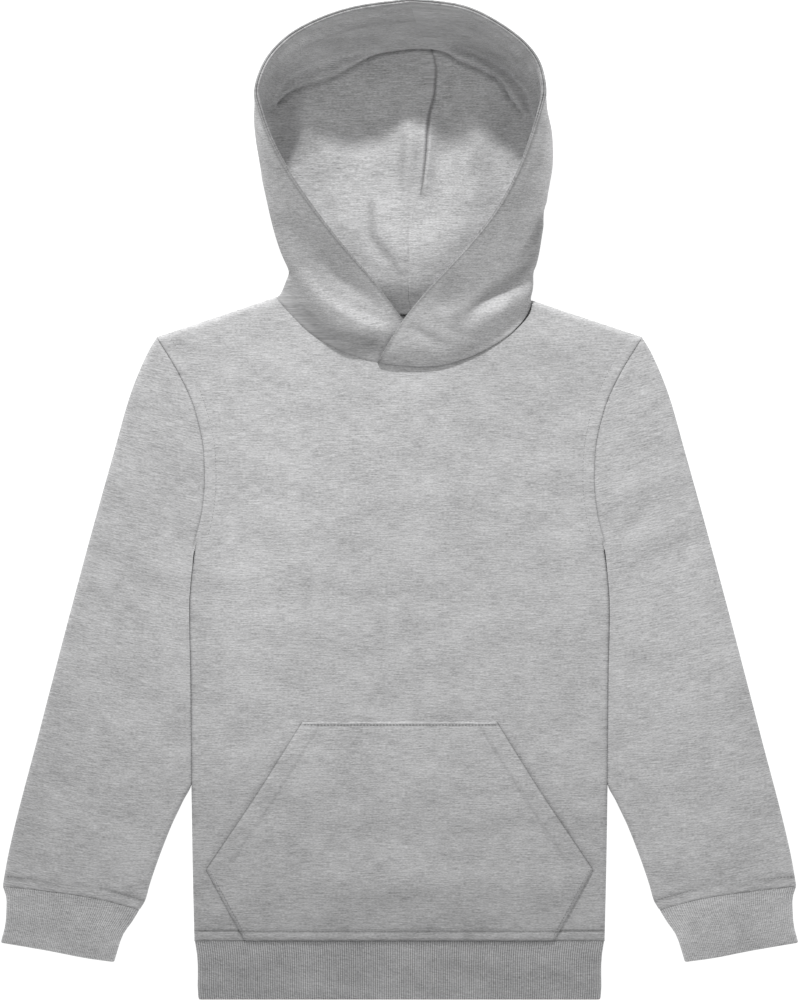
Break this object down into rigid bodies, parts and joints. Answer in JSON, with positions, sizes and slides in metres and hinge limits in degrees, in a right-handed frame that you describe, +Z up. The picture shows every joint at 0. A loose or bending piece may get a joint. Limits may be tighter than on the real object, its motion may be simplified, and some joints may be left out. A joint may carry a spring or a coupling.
{
  "type": "toddler hoodie",
  "caption": "Toddler pullover hoodie in grey fleece with rib cuffs and hem and a kangaroo pocket, laid flat with its lined hood opened like a bowl.",
  "frame": {"origin": "on the surface it lies on, under the middle of the bounding box", "axes": "+Y from the hem to the crown of the hood, +X to the wearer's left, +Z up out of the chest"},
  "size_m": [0.5102, 0.6391, 0.0671],
  "materials": {
    "fleece": "matte heather grey brushed fleece",
    "rib": "matte heather grey one by one rib"
  },
  "bodies": {
    "root": {"back_panel": "fleece", "front_panel": "fleece", "pocket": "fleece", "sleeve_left": "fleece", "sleeve_right": "fleece", "cuff_left": "rib", "cuff_right": "rib", "hem_band": "rib", "hood_left": "fleece", "hood_right": "fleece", "hood_lining_left": "fleece", "hood_lining_right": "fleece"}
  },
  "joints": []
}
